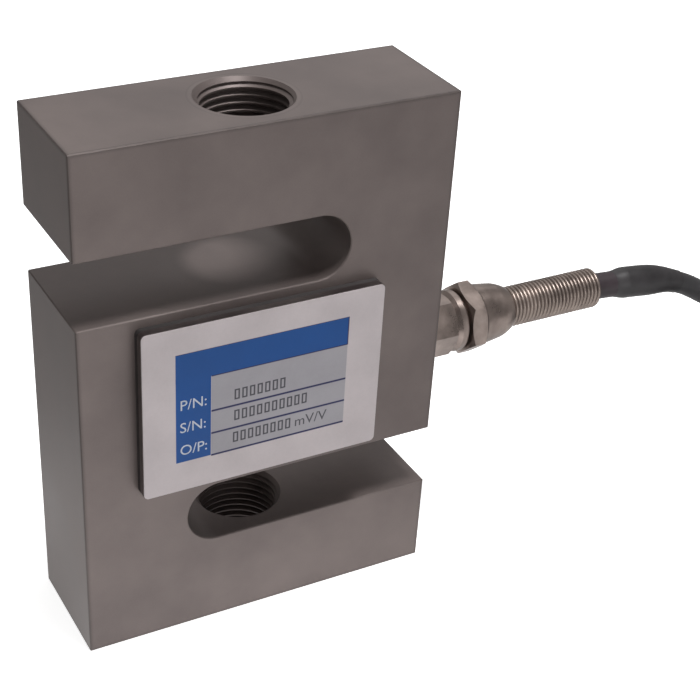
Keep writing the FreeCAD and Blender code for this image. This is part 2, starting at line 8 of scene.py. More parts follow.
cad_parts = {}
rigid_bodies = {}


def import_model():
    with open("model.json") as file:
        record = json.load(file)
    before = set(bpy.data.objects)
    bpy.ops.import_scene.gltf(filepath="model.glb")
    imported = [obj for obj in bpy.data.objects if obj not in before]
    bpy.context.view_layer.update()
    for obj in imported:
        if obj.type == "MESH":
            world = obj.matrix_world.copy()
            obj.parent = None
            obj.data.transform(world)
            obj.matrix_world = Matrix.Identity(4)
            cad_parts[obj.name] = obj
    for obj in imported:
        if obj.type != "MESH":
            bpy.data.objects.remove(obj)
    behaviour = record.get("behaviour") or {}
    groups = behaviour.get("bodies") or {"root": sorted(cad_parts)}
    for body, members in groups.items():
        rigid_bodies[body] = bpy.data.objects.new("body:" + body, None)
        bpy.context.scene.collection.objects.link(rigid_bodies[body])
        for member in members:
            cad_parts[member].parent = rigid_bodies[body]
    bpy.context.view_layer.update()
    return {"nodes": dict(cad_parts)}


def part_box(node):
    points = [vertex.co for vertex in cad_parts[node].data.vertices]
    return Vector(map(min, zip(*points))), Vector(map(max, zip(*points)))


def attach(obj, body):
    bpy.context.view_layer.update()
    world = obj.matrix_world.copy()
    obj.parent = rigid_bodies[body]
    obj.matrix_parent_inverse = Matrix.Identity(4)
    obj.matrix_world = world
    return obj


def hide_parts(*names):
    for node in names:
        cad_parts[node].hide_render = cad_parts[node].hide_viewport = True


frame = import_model()

MM = 0.001


# ---------------------------------------------------------------- sizes, millimetres
ARM_H = 20.2               # thickness of the top and bottom arms
GLAND_Z = 50.1

THREAD_PITCH = 1.5
THREAD_MAJOR_D = 18.0
THREAD_LEAD = 0.4          # where the upper thread's first turn starts
THREAD_STEPS = 64          # corners in one turn of the loading thread
THREAD_SPARE = 2.0         # how far its cutter runs past the arm, above and below
CUTTER_DEPTH = 1.0         # from the thread's root to inside the bore
RIDGE_BASE, RIDGE_TOP = 0.94, 0.16     # the cutter's widths, as shares of the pitch
RIDGE_TURN = math.pi / 2   # turns the ridge's top away from the axis

SPRING_D = 8.8
SPRING_WIRE_D = 0.93
SPRING_TURNS = 29
SPRING_STEPS, SPRING_SIDES = 30, 12    # corners in one turn, and round the wire

CABLE_D = 5.0

# The cable's way to the hank, the hank itself and the tail, as in the CAD.
ROUTE = [
    (86.7, 0.0, 50.1), (98.0, 0.0, 49.3), (111.0, 0.0, 47.0), (126.0, 1.5, 37.4),
    (137.0, 4.5, 32.0), (148.0, 7.2, 29.0), (159.0, 8.0, 28.3),
]
TAIL = [
    (249.0, -27.0, 25.8), (239.5, -26.7, 26.1), (229.8, -24.6, 25.9), (220.8, -21.6, 22.6),
    (213.2, -18.7, 17.6), (206.6, -16.2, 11.6), (199.2, -14.0, 6.6), (190.3, -12.5, 3.9),
    (181.0, -12.0, 3.9),
]
HANK_X = 154.0             # centre of the near fold
HANK_Y = -12.0
HANK_RUN = 95.0
HANK_COLUMN_R = (20.0, 15.0)   # outer turns, then inner turns
HANK_LOW_Z = 3.3           # where the inner turns start
OUTER_TURNS = 5
INNER_TURNS = 4.5
FIRST_RUN_AT = (0.3, 0.55, 0.8)        # control points on the first run, after the route's end
RUN_POINTS = 3             # control points along any other run
FOLD_CORNERS = 6           # control points round half a turn


# ---------------------------------------------------------------- shader helpers
def new_material(name):
    """A material with one Principled shader: the material, its tree and the shader."""
    mat = bpy.data.materials.new(name)
    mat.use_nodes = True
    nodes = mat.node_tree.nodes
    nodes.clear()
    out = nodes.new("ShaderNodeOutputMaterial")
    shader = nodes.new("ShaderNodeBsdfPrincipled")
    mat.node_tree.links.new(shader.outputs["BSDF"], out.inputs["Surface"])
    return mat, mat.node_tree, shader


def rgba(srgb):
    """An sRGB colour, 0 to 255, as linear light."""
    def lin(v):
        v = v / 255
        return v / 12.92 if v <= 0.04045 else ((v + 0.055) / 1.055) ** 2.4
    return tuple(lin(v) for v in srgb) + (1.0,)


def put(tree, kind, **properties):
    """A node with its own properties set, such as operation or data_type."""
    node = tree.nodes.new(kind)
    for key, value in properties.items():
        setattr(node, key, value)
    return node


def set_in(node, values):
    """Sets plain values on a node's inputs, by socket name."""
    for key, value in values.items():
        node.inputs[key].default_value = value
    return node


def group_tree(name, inputs, outputs):
    """A shader node group with named sockets: (name, kind, default)."""
    tree = bpy.data.node_groups.new(name, "ShaderNodeTree")
    for label, kind, default in inputs:
        socket = tree.interface.new_socket(label, in_out="INPUT", socket_type=kind)
        socket.default_value = default
    for label, kind in outputs:
        tree.interface.new_socket(label, in_out="OUTPUT", socket_type=kind)
    return tree, tree.nodes.new("NodeGroupInput"), tree.nodes.new("NodeGroupOutput")


def use_group(tree, group, values):
    """A group node with plain input values set."""
    node = tree.nodes.new("ShaderNodeGroup")
    node.node_tree = group
    return set_in(node, values)


def math_node(tree, operation, *values, clamp=False):
    """A maths node; each input is a socket or a number."""
    node = put(tree, "ShaderNodeMath", operation=operation, use_clamp=clamp)
    for socket, value in zip(node.inputs, values):
        if isinstance(value, (int, float)):
            socket.default_value = value
        else:
            tree.links.new(value, socket)
    return node.outputs[0]


def place_parts(tree):
    """A point's place in object space, and its x, y and z, in metres."""
    place = tree.nodes.new("ShaderNodeTexCoord")
    parts = tree.nodes.new("ShaderNodeSeparateXYZ")
    tree.links.new(place.outputs["Object"], parts.inputs[0])
    return place.outputs["Object"], parts.outputs["X"], parts.outputs["Y"], parts.outputs["Z"]


def mirrored_rays(tree):
    """The Light Path node, and 1 for a ray that metal or clear silicone sends on."""
    seen = tree.nodes.new("ShaderNodeLightPath")
    return seen, math_node(tree, "MAXIMUM", seen.outputs["Is Glossy Ray"],
                           seen.outputs["Is Transmission Ray"])


FLOAT, COLOR, VECTOR = "NodeSocketFloat", "NodeSocketColor", "NodeSocketVector"


def mottle_group():
    """Cloudy colour, fine grain and matching roughness, in object space. Scales are per metre."""
    tree, gin, gout = group_tree(
        "mottled_finish",
        [("Dark", COLOR, (0, 0, 0, 1)), ("Light", COLOR, (1, 1, 1, 1)), ("Cloud Scale", FLOAT, 60.0),
         ("Grain Scale", FLOAT, 3000.0), ("Grain Amount", FLOAT, 0.2), ("Rough Low", FLOAT, 0.4),
         ("Rough High", FLOAT, 0.5), ("Stretch", VECTOR, (1, 1, 1))],
        [("Color", COLOR), ("Roughness", FLOAT), ("Height", FLOAT)],
    )
    link = tree.links.new
    place = tree.nodes.new("ShaderNodeTexCoord")
    stretch = put(tree, "ShaderNodeVectorMath", operation="MULTIPLY")
    link(place.outputs["Object"], stretch.inputs[0])
    link(gin.outputs["Stretch"], stretch.inputs[1])
    cloud = set_in(tree.nodes.new("ShaderNodeTexNoise"), {"Detail": 4.0, "Roughness": 0.55})
    link(stretch.outputs[0], cloud.inputs["Vector"])
    link(gin.outputs["Cloud Scale"], cloud.inputs["Scale"])
    spread = set_in(tree.nodes.new("ShaderNodeMapRange"), {"From Min": 0.3, "From Max": 0.7})
    link(cloud.outputs["Fac"], spread.inputs["Value"])
    grain = set_in(tree.nodes.new("ShaderNodeTexNoise"), {"Detail": 2.0, "Roughness": 0.6})
    link(stretch.outputs[0], grain.inputs["Vector"])
    link(gin.outputs["Grain Scale"], grain.inputs["Scale"])
    centred = math_node(tree, "SUBTRACT", grain.outputs["Fac"], 0.5)
    fine = math_node(tree, "MULTIPLY_ADD", centred, gin.outputs["Grain Amount"],
                     spread.outputs["Result"], clamp=True)
    tint = put(tree, "ShaderNodeMix", data_type="RGBA")
    link(fine, tint.inputs["Factor"])
    link(gin.outputs["Dark"], tint.inputs["A"])
    link(gin.outputs["Light"], tint.inputs["B"])
    rough = tree.nodes.new("ShaderNodeMapRange")
    link(fine, rough.inputs["Value"])
    link(gin.outputs["Rough Low"], rough.inputs["To Min"])
    link(gin.outputs["Rough High"], rough.inputs["To Max"])
    link(tint.outputs["Result"], gout.inputs["Color"])
    link(rough.outputs["Result"], gout.inputs["Roughness"])
    link(grain.outputs["Fac"], gout.inputs["Height"])
    return tree


def band_group():
    """1 where a value lies between two others, with a soft edge inside each."""
    tree, gin, gout = group_tree(
        "print_band",
        [("Value", FLOAT, 0.0), ("Low", FLOAT, 0.0), ("High", FLOAT, 0.001), ("Edge", FLOAT, 0.00008)],
        [("Mask", FLOAT)],
    )
    sides = []
    for more, less in (("Value", "Low"), ("High", "Value")):
        inside = math_node(tree, "SUBTRACT", gin.outputs[more], gin.outputs[less])
        sides.append(math_node(tree, "DIVIDE", inside, gin.outputs["Edge"], clamp=True))
    tree.links.new(math_node(tree, "MULTIPLY", *sides), gout.inputs["Mask"])
    return tree


def band(tree, value, low, high):
    """A print_band node fed from three sockets."""
    node = tree.nodes.new("ShaderNodeGroup")
    node.node_tree = BAND
    tree.links.new(value, node.inputs["Value"])
    tree.links.new(low, node.inputs["Low"])
    tree.links.new(high, node.inputs["High"])
    return node.outputs["Mask"]


def box_mask_group():
    """1 inside a rectangle on the label's face. In metres."""
    tree, gin, gout = group_tree(
        "printed_box",
        [("Left", FLOAT, 0.0), ("Right", FLOAT, 0.01), ("Low", FLOAT, 0.0), ("High", FLOAT, 0.01)],
        [("Mask", FLOAT)],
    )
    _, x, _, z = place_parts(tree)
    across = band(tree, x, gin.outputs["Left"], gin.outputs["Right"])
    up = band(tree, z, gin.outputs["Low"], gin.outputs["High"])
    tree.links.new(math_node(tree, "MULTIPLY", across, up), gout.inputs["Mask"])
    return tree


def mark_row_group():
    """A row of small upright frames on the label's face: a field filled in with blanks."""
    tree, gin, gout = group_tree(
        "mark_row",
        [("Left", FLOAT, 0.0), ("Right", FLOAT, 0.01), ("Low", FLOAT, 0.0), ("High", FLOAT, 0.002),
         ("Pitch", FLOAT, 0.0016), ("Gap", FLOAT, 0.0002), ("Stroke", FLOAT, 0.0003)],
        [("Mask", FLOAT)],
    )
    _, x, _, z = place_parts(tree)
    from_left = math_node(tree, "SUBTRACT", x, gin.outputs["Left"])
    in_cell = math_node(tree, "FLOORED_MODULO", from_left, gin.outputs["Pitch"])
    cell_end = math_node(tree, "SUBTRACT", gin.outputs["Pitch"], gin.outputs["Gap"])
    frame_in = math_node(tree, "ADD", gin.outputs["Gap"], gin.outputs["Stroke"])
    frame_end = math_node(tree, "SUBTRACT", cell_end, gin.outputs["Stroke"])
    low_in = math_node(tree, "ADD", gin.outputs["Low"], gin.outputs["Stroke"])
    high_in = math_node(tree, "SUBTRACT", gin.outputs["High"], gin.outputs["Stroke"])
    outer = math_node(tree, "MULTIPLY", band(tree, in_cell, gin.outputs["Gap"], cell_end),
                      band(tree, z, gin.outputs["Low"], gin.outputs["High"]))
    row = math_node(tree, "MULTIPLY", outer, band(tree, x, gin.outputs["Left"], gin.outputs["Right"]))
    hollow = math_node(tree, "MULTIPLY", band(tree, in_cell, frame_in, frame_end),
                       band(tree, z, low_in, high_in))
    solid = math_node(tree, "SUBTRACT", 1.0, hollow)
    tree.links.new(math_node(tree, "MULTIPLY", row, solid), gout.inputs["Mask"])
    return tree


def ring_group():
    """1 on a ring round the upright axis through the origin, above a height, and 0 elsewhere."""
    tree, gin, gout = group_tree(
        "ring_mark",
        [("Radius", FLOAT, 0.01), ("Half Width", FLOAT, 0.0002), ("Above", FLOAT, 0.1)],
        [("Mask", FLOAT)],
    )
    place, _, _, z = place_parts(tree)
    flat = put(tree, "ShaderNodeVectorMath", operation="MULTIPLY")
    flat.inputs[1].default_value = (1, 1, 0)
    tree.links.new(place, flat.inputs[0])
    away = put(tree, "ShaderNodeVectorMath", operation="LENGTH")
    tree.links.new(flat.outputs[0], away.inputs[0])
    off = math_node(tree, "SUBTRACT", away.outputs["Value"], gin.outputs["Radius"])
    near = math_node(tree, "ABSOLUTE", off)
    fade = tree.nodes.new("ShaderNodeMapRange")
    fade.interpolation_type = "SMOOTHSTEP"
    tree.links.new(near, fade.inputs["Value"])
    tree.links.new(gin.outputs["Half Width"], fade.inputs["From Max"])
    set_in(fade, {"To Min": 1.0, "To Max": 0.0})
    high = math_node(tree, "GREATER_THAN", z, gin.outputs["Above"])
    tree.links.new(math_node(tree, "MULTIPLY", fade.outputs["Result"], high), gout.inputs["Mask"])
    return tree


def edge_shade_group():
    """1 along the outer edges of an upright box that stands on z 0, and 0 on its faces: where the
    block's edges get painted shade.
    """
    tree, gin, gout = group_tree(
        "box_edge_shade",
        [("Half X", FLOAT, 0.038), ("Half Y", FLOAT, 0.0127), ("Height", FLOAT, 0.108),
         ("Width", FLOAT, 0.0004)],
        [("Mask", FLOAT)],
    )
    _, x, y, z = place_parts(tree)
    half_height = math_node(tree, "MULTIPLY", gin.outputs["Height"], 0.5)
    from_middle = math_node(tree, "SUBTRACT", z, half_height)
    inset = []
    for value, half in ((x, gin.outputs["Half X"]), (y, gin.outputs["Half Y"]),
                        (from_middle, half_height)):
        inset.append(math_node(tree, "SUBTRACT", half, math_node(tree, "ABSOLUTE", value)))
    total = math_node(tree, "ADD", math_node(tree, "ADD", inset[0], inset[1]), inset[2])
    largest = math_node(tree, "MAXIMUM", math_node(tree, "MAXIMUM", inset[0], inset[1]), inset[2])
    fade = tree.nodes.new("ShaderNodeMapRange")
    fade.interpolation_type = "SMOOTHSTEP"
    tree.links.new(math_node(tree, "SUBTRACT", total, largest), fade.inputs["Value"])
    tree.links.new(gin.outputs["Width"], fade.inputs["From Max"])
    set_in(fade, {"To Min": 1.0, "To Max": 0.0})
    tree.links.new(fade.outputs["Result"], gout.inputs["Mask"])
    return tree


MOTTLE = mottle_group()
BAND = band_group()
PRINT_BOX = box_mask_group()
MARK_ROW = mark_row_group()
RING_MARK = ring_group()
BOX_EDGE_SHADE = edge_shade_group()


def finish_material(name, dark, light, metallic=0.0, rough=(0.4, 0.5), cloud=60.0, grain=2500.0,
                    grain_amount=0.25, bump=0.05, bump_mm=0.02, stretch=(1, 1, 1), **extra):
    """A surface with cloudy colour, grain and a matching fine bump."""
    mat, tree, shader = new_material(name)
    mottle = use_group(tree, MOTTLE, {
        "Dark": rgba(dark), "Light": rgba(light), "Cloud Scale": cloud, "Grain Scale": grain,
        "Grain Amount": grain_amount, "Rough Low": rough[0], "Rough High": rough[1],
        "Stretch": stretch,
    })
    tree.links.new(mottle.outputs["Color"], shader.inputs["Base Color"])
    tree.links.new(mottle.outputs["Roughness"], shader.inputs["Roughness"])
    ripple = set_in(tree.nodes.new("ShaderNodeBump"), {"Strength": bump, "Distance": bump_mm * MM})
    tree.links.new(mottle.outputs["Height"], ripple.inputs["Height"])
    tree.links.new(ripple.outputs["Normal"], shader.inputs["Normal"])
    shader.inputs["Metallic"].default_value = metallic
    set_in(shader, extra)
    return mat


# ---------------------------------------------------------------- finishes
block_metal = finish_material(
    "satin_nickel_block", (100, 90, 88), (124, 113, 110), metallic=0.45, rough=(0.40, 0.50),
    cloud=38.0, grain=2600.0, grain_amount=0.30, bump=0.10, bump_mm=0.03)


def add_tones(mat, marks):
    """Multiplies a finish's colour by a tone where a mask group says so: (group, inputs, tone)."""
    tree = mat.node_tree
    shader = next(n for n in tree.nodes if n.type == "BSDF_PRINCIPLED")
    colour = shader.inputs["Base Color"].links[0].from_socket
    for group, values, tone in marks:
        mask = use_group(tree, group, values)
        over = put(tree, "ShaderNodeMix", data_type="RGBA", blend_type="MULTIPLY")
        tree.links.new(mask.outputs["Mask"], over.inputs["Factor"])
        tree.links.new(colour, over.inputs["A"])
        over.inputs["B"].default_value = (tone, tone, tone, 1)
        colour = over.outputs["Result"]
    tree.links.new(colour, shader.inputs["Base Color"])


RING_ABOVE = 0.1079        # only on the top face
add_tones(block_metal, [
    (RING_MARK, {"Radius": 9.85 * MM, "Half Width": 0.45 * MM, "Above": RING_ABOVE}, 1.06),
    (RING_MARK, {"Radius": 10.4 * MM, "Half Width": 0.25 * MM, "Above": RING_ABOVE}, 0.87),
    # painted shade: the block's outer edges are darkened, standing in for the edge breaks mirroring
    # dark surroundings
    (BOX_EDGE_SHADE, {"Half X": 38.1 * MM, "Half Y": 12.7 * MM, "Height": 108.0 * MM,
                 "Width": 0.9 * MM}, 0.62),
])
cover_metal = finish_material(
    "cover_steel", (88, 80, 80), (116, 108, 106), metallic=0.8, rough=(0.32, 0.42),
    cloud=90.0, grain=1200.0, stretch=(1, 1, 9))
disc_metal = finish_material(
    "disc_steel", (96, 88, 86), (112, 103, 101), metallic=0.6, rough=(0.36, 0.44),
    cloud=60.0, grain=1600.0, grain_amount=0.5, stretch=(1, 1, 6))
gland_metal = finish_material(
    "gland_nickel", (128, 116, 111), (172, 157, 150), metallic=0.9, rough=(0.26, 0.36),
    cloud=220.0, grain=3500.0, grain_amount=0.2, bump=0.04)
spring_metal = finish_material(
    "spring_wire", (127, 115, 109), (169, 155, 147), metallic=0.85, rough=(0.34, 0.46),
    cloud=260.0, grain=5000.0, grain_amount=0.25, bump=0.04)
gasket_rubber = finish_material(
    "gasket_rubber", (44, 40, 40), (60, 55, 55), rough=(0.6, 0.75), cloud=120.0, grain=3000.0)
bush_rubber = finish_material(
    "bush_rubber", (28, 28, 28), (42, 42, 42), rough=(0.55, 0.7), cloud=200.0)
washer_nylon = finish_material(
    "washer_nylon", (36, 34, 33), (56, 53, 51), rough=(0.45, 0.6), cloud=300.0)
jacket_rubber = finish_material(
    "cable_jacket", (43, 42, 44), (62, 60, 62), rough=(0.42, 0.58), cloud=140.0, grain=1800.0,
    grain_amount=0.35, bump=0.12, bump_mm=0.03)
outer_shrink = finish_material(
    "outer_sleeve", (37, 35, 37), (56, 53, 55), rough=(0.36, 0.5), cloud=160.0, grain=900.0,
    grain_amount=0.35, bump=0.25, bump_mm=0.05)
inner_shrink = finish_material(
    "inner_sleeve", (40, 32, 36), (58, 48, 53), rough=(0.36, 0.5), cloud=160.0, grain=900.0,
    grain_amount=0.3, bump=0.2, bump_mm=0.05)
tie_plastic = finish_material(
    "tie_plastic", (26, 26, 28), (44, 44, 46), rough=(0.35, 0.5), cloud=260.0, grain=2600.0)
gauge_foil = finish_material(
    "gauge_foil", (168, 112, 48), (204, 150, 74), rough=(0.3, 0.4), cloud=400.0, grain=4000.0)
sealant_silicone = finish_material(
    "clear_sealant", (196, 196, 190), (224, 224, 218), rough=(0.25, 0.4), cloud=160.0,
    **{"Transmission Weight": 0.35, "IOR": 1.41})
board_green = finish_material(
    "board_green", (18, 92, 52), (28, 118, 66), rough=(0.3, 0.4), cloud=500.0, grain=5000.0)
solder_tin = finish_material(
    "solder_tin", (150, 150, 152), (196, 196, 198), metallic=0.9, rough=(0.2, 0.35), cloud=900.0)
resistor_black = finish_material(
    "resistor_black", (20, 20, 24), (38, 38, 42), rough=(0.35, 0.5), cloud=900.0)
enamel_copper = finish_material(
    "enamel_copper", (150, 70, 26), (190, 98, 44), rough=(0.2, 0.3), cloud=900.0)
CORE_COLOURS = {
    "red": ("core_red", (158, 20, 16), (186, 34, 26)),
    "green": ("core_green", (14, 104, 44), (30, 132, 60)),
    "black": ("core_black", (20, 20, 20), (36, 36, 36)),
    "white": ("core_white", (206, 204, 196), (228, 226, 220)),
    "shield": ("core_yellow", (186, 152, 24), (208, 176, 44)),
}
core_finishes = {
    core: finish_material(name, dark, light, rough=(0.35, 0.5), cloud=500.0)
    for core, (name, dark, light) in CORE_COLOURS.items()
}
tinned_strand = finish_material(
    "tinned_strand", (150, 148, 144), (196, 194, 190), metallic=0.85, rough=(0.3, 0.45),
    cloud=900.0, grain=9000.0, grain_amount=0.6, bump=0.3, bump_mm=0.05, stretch=(0.15, 1, 1))


# The label's print: colour fields and rules, and rows of small empty frames for the values.
# Places are in millimetres, from the load axis and from the block's foot.
PLATE = (203, 194, 196)
PANEL = (166, 163, 169)
BLUE = (12, 76, 146)
RULE = (40, 40, 86)
INK = (74, 72, 80)
PRINT_LEFT, PANEL_LEFT, PRINT_RIGHT = -20.4, -13.15, 15.6
LABEL_PRINT = [
    # colour, left, right, low, high
    (PANEL, PANEL_LEFT, PRINT_RIGHT, 43.0, 61.0),
    (BLUE, PRINT_LEFT, PRINT_RIGHT, 60.9, 67.0),
    (BLUE, PRINT_LEFT, PANEL_LEFT, 43.05, 62.0),
    (RULE, PANEL_LEFT, PRINT_RIGHT, 52.9, 53.4),
    (RULE, PANEL_LEFT, PRINT_RIGHT, 47.85, 48.35),
    (RULE, PANEL_LEFT, PRINT_RIGHT, 42.8, 43.3),
    (RULE, PANEL_LEFT, PRINT_RIGHT, 60.75, 61.05),
    (RULE, 15.4, 15.7, 60.8, 67.05),
    (RULE, PRINT_LEFT, PRINT_RIGHT, 66.85, 67.05),
]
MARKS = [
    # left, low, how many
    (-8.6, 54.4, 7),
    (-8.6, 49.7, 10),
    (-8.8, 44.7, 8),
]
MARK_PITCH = 1.6
MARK_GAP = 0.2
MARK_STROKE = 0.32
MARK_HEIGHT = 2.4


def label_material():
    """The printed label: each field, rule and row of frames laid over the plate's colour."""
    mat, tree, shader = new_material("label_print")
    mottle = use_group(tree, MOTTLE, {
        "Dark": (0.88, 0.88, 0.88, 1), "Light": (1.05, 1.05, 1.05, 1), "Cloud Scale": 70.0,
        "Grain Scale": 2400.0, "Grain Amount": 0.5, "Rough Low": 0.34, "Rough High": 0.44,
        "Stretch": (1, 1, 1),
    })
    masks = []
    for paint, left, right, low, high in LABEL_PRINT:
        masks.append((paint, use_group(tree, PRINT_BOX, {
            "Left": left * MM, "Right": right * MM, "Low": low * MM, "High": high * MM,
        })))
    for left, low, count in MARKS:
        masks.append((INK, use_group(tree, MARK_ROW, {
            "Left": left * MM, "Right": (left + count * MARK_PITCH) * MM, "Low": low * MM,
            "High": (low + MARK_HEIGHT) * MM, "Pitch": MARK_PITCH * MM, "Gap": MARK_GAP * MM,
            "Stroke": MARK_STROKE * MM,
        })))
    colour = None
    for paint, mask in masks:
        over = put(tree, "ShaderNodeMix", data_type="RGBA")
        tree.links.new(mask.outputs["Mask"], over.inputs["Factor"])
        if colour is None:
            over.inputs["A"].default_value = rgba(PLATE)
        else:
            tree.links.new(colour, over.inputs["A"])
        over.inputs["B"].default_value = rgba(paint)
        colour = over.outputs["Result"]
    shade = put(tree, "ShaderNodeMix", data_type="RGBA", blend_type="MULTIPLY")
    shade.inputs["Factor"].default_value = 1.0
    tree.links.new(colour, shade.inputs["A"])
    tree.links.new(mottle.outputs["Color"], shade.inputs["B"])
    tree.links.new(shade.outputs["Result"], shader.inputs["Base Color"])
    tree.links.new(mottle.outputs["Roughness"], shader.inputs["Roughness"])
    shader.inputs["Specular IOR Level"].default_value = 0.3
    return mat


label_print = label_material()
ink_white = finish_material(
    "ink_white", (182, 190, 202), (204, 210, 220), rough=(0.45, 0.6), cloud=300.0)
ink_dark = finish_material(
    "ink_dark", (62, 60, 68), (86, 84, 92), rough=(0.45, 0.6), cloud=300.0)


# ---------------------------------------------------------------- mesh helpers
def merged_copy(node, name):
    """A copy of a CAD node's mesh with its loose triangles joined into clean faces."""
    mesh = frame["nodes"][node].data.copy()
    mesh.name = name
    work = bmesh.new()
    work.from_mesh(mesh)
    bmesh.ops.remove_doubles(work, verts=work.verts, dist=1e-7)
    work.to_mesh(mesh)
    work.free()
    mesh.materials.clear()
    copy = bpy.data.objects.new(name, mesh)
    bpy.context.scene.collection.objects.link(copy)
    return copy


def baked(obj):
    """Turns an object with modifiers into a plain mesh with its place in its vertices."""
    graph = bpy.context.evaluated_depsgraph_get()
    mesh = bpy.data.meshes.new_from_object(obj.evaluated_get(graph), depsgraph=graph)
    mesh.transform(obj.matrix_world)
    plain = bpy.data.objects.new(obj.name + "_piece", mesh)
    bpy.context.scene.collection.objects.link(plain)
    old = obj.data
    bpy.data.objects.remove(obj)
    if old.users == 0:
        bpy.data.batch_remove([old])
    return plain


def smooth_by_angle(obj, degrees):
    """Smooth shading with sharp edges where faces meet at more than the angle."""
    work = bmesh.new()
    work.from_mesh(obj.data)
    for face in work.faces:
        face.smooth = True
    limit = math.radians(degrees)
    for edge in work.edges:
        if len(edge.link_faces) == 2 and edge.calc_face_angle(0.0) > limit:
            edge.smooth = False
    work.to_mesh(obj.data)
    work.free()


def dress(obj, material):
    """Gives a mesh one finish."""
    obj.data.materials.clear()
    obj.data.materials.append(material)


def keep(obj, name, material, slot, *nodes):
    obj.name = name
    obj.data.name = name
    dress(obj, material)
    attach(obj, "root")
    if nodes:
        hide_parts(*nodes)
    return obj


# ---------------------------------------------------------------- geometry nodes
def geometry_tree(name, inputs):
    """A geometry node tree with named inputs: (name, kind, default)."""
    tree = bpy.data.node_groups.new(name, "GeometryNodeTree")
    tree.interface.new_socket("Geometry", in_out="INPUT", socket_type="NodeSocketGeometry")
    for label, kind, default in inputs:
        socket = tree.interface.new_socket(label, in_out="INPUT", socket_type=kind)
        if default is not None:
            socket.default_value = default
    tree.interface.new_socket("Geometry", in_out="OUTPUT", socket_type="NodeSocketGeometry")
    return tree, tree.nodes.new("NodeGroupInput"), tree.nodes.new("NodeGroupOutput")


def finish_tree(tree, gin, gout, geometry):
    """Ends a tree with real geometry in its material."""
    real = tree.nodes.new("GeometryNodeRealizeInstances")
    paint = tree.nodes.new("GeometryNodeSetMaterial")
    tree.links.new(geometry, real.inputs["Geometry"])
    tree.links.new(real.outputs["Geometry"], paint.inputs["Geometry"])
    tree.links.new(gin.outputs["Material"], paint.inputs["Material"])
    tree.links.new(paint.outputs["Geometry"], gout.inputs["Geometry"])
    return tree


def wound_spring_tree():
    """A round wire wound on a cylinder along +Z from the origin, its ends cut square."""
    tree, gin, gout = geometry_tree("wound_spring", [
        ("Coil Radius", FLOAT, 0.004), ("Turns", FLOAT, 20.0), ("Length", FLOAT, 0.02),
        ("Wire Radius", FLOAT, 0.0005), ("Steps", "NodeSocketInt", 36),
        ("Sides", "NodeSocketInt", 12), ("Material", "NodeSocketMaterial", None),
    ])
    link = tree.links.new
    coil = tree.nodes.new("GeometryNodeCurveSpiral")
    link(gin.outputs["Steps"], coil.inputs["Resolution"])
    link(gin.outputs["Turns"], coil.inputs["Rotations"])
    link(gin.outputs["Coil Radius"], coil.inputs["Start Radius"])
    link(gin.outputs["Coil Radius"], coil.inputs["End Radius"])
    link(gin.outputs["Length"], coil.inputs["Height"])
    wire = tree.nodes.new("GeometryNodeCurvePrimitiveCircle")
    link(gin.outputs["Sides"], wire.inputs["Resolution"])
    link(gin.outputs["Wire Radius"], wire.inputs["Radius"])
    level = tree.nodes.new("GeometryNodeSetCurveNormal")
    level.mode = "Z_UP"
    link(coil.outputs["Curve"], level.inputs["Curve"])
    sweep = tree.nodes.new("GeometryNodeCurveToMesh")
    sweep.inputs["Fill Caps"].default_value = True
    link(level.outputs["Curve"], sweep.inputs["Curve"])
    link(wire.outputs["Curve"], sweep.inputs["Profile Curve"])
    smooth = tree.nodes.new("GeometryNodeSetShadeSmooth")
    link(sweep.outputs["Mesh"], smooth.inputs["Geometry"])
    return finish_tree(tree, gin, gout, smooth.outputs["Geometry"])


def thread_cutter_tree():
    """A V ridge wound along +Z from the origin: what a tap takes out of a bore."""
    tree, gin, gout = geometry_tree("thread_cutter", [
        ("Root Radius", FLOAT, 0.01), ("Inner Radius", FLOAT, 0.009), ("Pitch", FLOAT, 0.0015),
        ("Turns", FLOAT, 10.0), ("Steps", "NodeSocketInt", 64), ("Ridge Base", FLOAT, 0.0014),
        ("Ridge Top", FLOAT, 0.0002), ("Material", "NodeSocketMaterial", None),
    ])
    link = tree.links.new
    coil = tree.nodes.new("GeometryNodeCurveSpiral")
    rise = math_node(tree, "MULTIPLY", gin.outputs["Pitch"], gin.outputs["Turns"])
    link(gin.outputs["Steps"], coil.inputs["Resolution"])
    link(gin.outputs["Turns"], coil.inputs["Rotations"])
    both_radii = math_node(tree, "ADD", gin.outputs["Root Radius"], gin.outputs["Inner Radius"])
    middle = math_node(tree, "MULTIPLY", both_radii, 0.5)
    link(middle, coil.inputs["Start Radius"])
    link(middle, coil.inputs["End Radius"])
    link(rise, coil.inputs["Height"])
    depth = math_node(tree, "SUBTRACT", gin.outputs["Root Radius"], gin.outputs["Inner Radius"])
    ridge = tree.nodes.new("GeometryNodeCurvePrimitiveQuadrilateral")
    ridge.mode = "TRAPEZOID"
    ridge.inputs["Offset"].default_value = 0.0
    link(gin.outputs["Ridge Base"], ridge.inputs["Bottom Width"])
    link(gin.outputs["Ridge Top"], ridge.inputs["Top Width"])
    link(depth, ridge.inputs["Height"])
    turn = tree.nodes.new("GeometryNodeTransform")
    turn.inputs["Rotation"].default_value = (0, 0, RIDGE_TURN)
    link(ridge.outputs["Curve"], turn.inputs["Geometry"])
    level = tree.nodes.new("GeometryNodeSetCurveNormal")
    level.mode = "Z_UP"
    link(coil.outputs["Curve"], level.inputs["Curve"])
    sweep = tree.nodes.new("GeometryNodeCurveToMesh")
    sweep.inputs["Fill Caps"].default_value = True
    link(level.outputs["Curve"], sweep.inputs["Curve"])
    link(turn.outputs["Geometry"], sweep.inputs["Profile Curve"])
    return finish_tree(tree, gin, gout, sweep.outputs["Mesh"])


